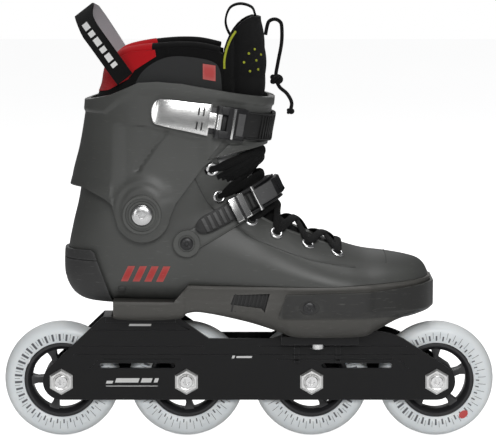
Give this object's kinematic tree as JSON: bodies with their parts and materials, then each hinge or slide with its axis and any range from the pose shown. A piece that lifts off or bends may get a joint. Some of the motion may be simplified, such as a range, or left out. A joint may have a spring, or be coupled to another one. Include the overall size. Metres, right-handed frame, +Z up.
{
  "type": "inline skate",
  "caption": "Right-foot inline skate: hard shell boot with hinged cuff, padded liner, lever buckle, ratchet strap and laces on a channel frame with wheels in line.",
  "frame": {"origin": "on the floor, half way between the end axles, in the plane of the wheels", "axes": "+X towards the toe, +Y towards the inner side of the foot, +Z up"},
  "size_m": [0.381, 0.117, 0.3401],
  "materials": {
    "shell_plastic": "satin moulded plastic, dark olive grey",
    "base_plastic": "satin moulded plastic, dark warm grey",
    "guard_plastic": "fine matt moulded plastic",
    "slider_plastic": "hard black plastic, lightly scuffed",
    "frame_metal": "glossy black anodised extrusion",
    "steel": "bright machined steel",
    "chrome": "polished",
    "urethane": "translucent white urethane",
    "core_plastic": "glass-filled black nylon",
    "strap_plastic": "flexible ribbed plastic",
    "buckle_plastic": "moulded plastic",
    "lining_fabric": "woven lining",
    "collar_fabric": "padded synthetic leather",
    "webbing": "woven webbing",
    "lace_fabric": "braided lace"
  },
  "bodies": {
    "skate": {"frame": "frame_metal", "axle_1": "steel", "axle_2": "steel", "axle_3": "steel", "axle_4": "steel", "hex_insert_1": "steel", "hex_insert_2": "steel", "hex_insert_3": "steel", "hex_insert_4": "steel", "bearing_spacer_1": "steel", "bearing_spacer_2": "steel", "bearing_spacer_3": "steel", "bearing_spacer_4": "steel", "heel_mount_bolt": "steel", "ball_mount_bolt_outer": "steel", "ball_mount_bolt_inner": "steel", "sole_base": "base_plastic", "shell": "shell_plastic", "heel_guard": "guard_plastic", "toe_slider": "slider_plastic", "slider_screw_outer": "steel", "slider_screw_inner": "steel", "cuff_pivot_bolt_outer": "steel", "cuff_pivot_bolt_inner": "steel", "liner_bootie": "lining_fabric", "insole": "lining_fabric", "shell_laces": "lace_fabric", "instep_bolt_outer": "steel", "instep_bolt_inner": "steel"},
    "wheel_1": {"tyre_1": "urethane", "wheel_core_1": "core_plastic", "bearing_1_outer": "steel", "bearing_1_inner": "steel"},
    "wheel_2": {"tyre_2": "urethane", "wheel_core_2": "core_plastic", "bearing_2_outer": "steel", "bearing_2_inner": "steel"},
    "wheel_3": {"tyre_3": "urethane", "wheel_core_3": "core_plastic", "bearing_3_outer": "steel", "bearing_3_inner": "steel"},
    "wheel_4": {"tyre_4": "urethane", "wheel_core_4": "core_plastic", "bearing_4_outer": "steel", "bearing_4_inner": "steel"},
    "cuff": {"cuff": "shell_plastic", "liner_collar": "collar_fabric", "liner_tongue": "collar_fabric", "heel_pull_loop": "webbing", "tongue_pull_loop": "webbing", "liner_cord": "lace_fabric", "cuff_buckle_base": "buckle_plastic", "cuff_lever_pin": "steel", "cuff_strap_anchor": "strap_plastic"},
    "cuff_lever": {"cuff_lever": "chrome"},
    "cuff_strap": {"cuff_strap": "strap_plastic"},
    "instep_strap": {"instep_strap_arm": "shell_plastic", "ladder_strap": "strap_plastic", "instep_buckle": "buckle_plastic"},
    "ratchet_lever": {"instep_ratchet_lever": "buckle_plastic"}
  },
  "joints": [
    {"name": "wheel_1_spin", "type": "hinge", "parent": "skate", "child": "wheel_1", "pos_m": [-0.1455, 0, 0.045], "axis": [0, 1, 0], "continuous": true},
    {"name": "wheel_2_spin", "type": "hinge", "parent": "skate", "child": "wheel_2", "pos_m": [-0.0485, 0, 0.045], "axis": [0, 1, 0], "continuous": true},
    {"name": "wheel_3_spin", "type": "hinge", "parent": "skate", "child": "wheel_3", "pos_m": [0.0485, 0, 0.045], "axis": [0, 1, 0], "continuous": true},
    {"name": "wheel_4_spin", "type": "hinge", "parent": "skate", "child": "wheel_4", "pos_m": [0.1455, 0, 0.045], "axis": [0, 1, 0], "continuous": true},
    {"name": "cuff_flex", "type": "hinge", "parent": "skate", "child": "cuff", "pos_m": [-0.081, 0, 0.179], "axis": [0, 1, 0], "range_deg": [-5, 6]},
    {"name": "cuff_lever_open", "type": "hinge", "parent": "cuff", "child": "cuff_lever", "pos_m": [-0.02273, -0.05155, 0.24979], "axis": [0.1676, 0, 0.9859], "range_deg": [0, 100]},
    {"name": "cuff_strap_swing", "type": "hinge", "parent": "cuff", "child": "cuff_strap", "pos_m": [-0.03456, 0.04994, 0.2518], "axis": [0.1676, 0, 0.9859], "range_deg": [0, 70]},
    {"name": "instep_strap_swing", "type": "hinge", "parent": "skate", "child": "instep_strap", "pos_m": [-0.0473, 0, 0.1568], "axis": [0, -1, 0], "range_deg": [0, 4]},
    {"name": "ratchet_lever_open", "type": "hinge", "parent": "instep_strap", "child": "ratchet_lever", "pos_m": [0.00583, -0.03841, 0.19063], "axis": [0.4472, 0, -0.8944], "range_deg": [0, 55], "stiffness_Nm_per_rad": 0.03, "springref_deg": -20.05}
  ]
}
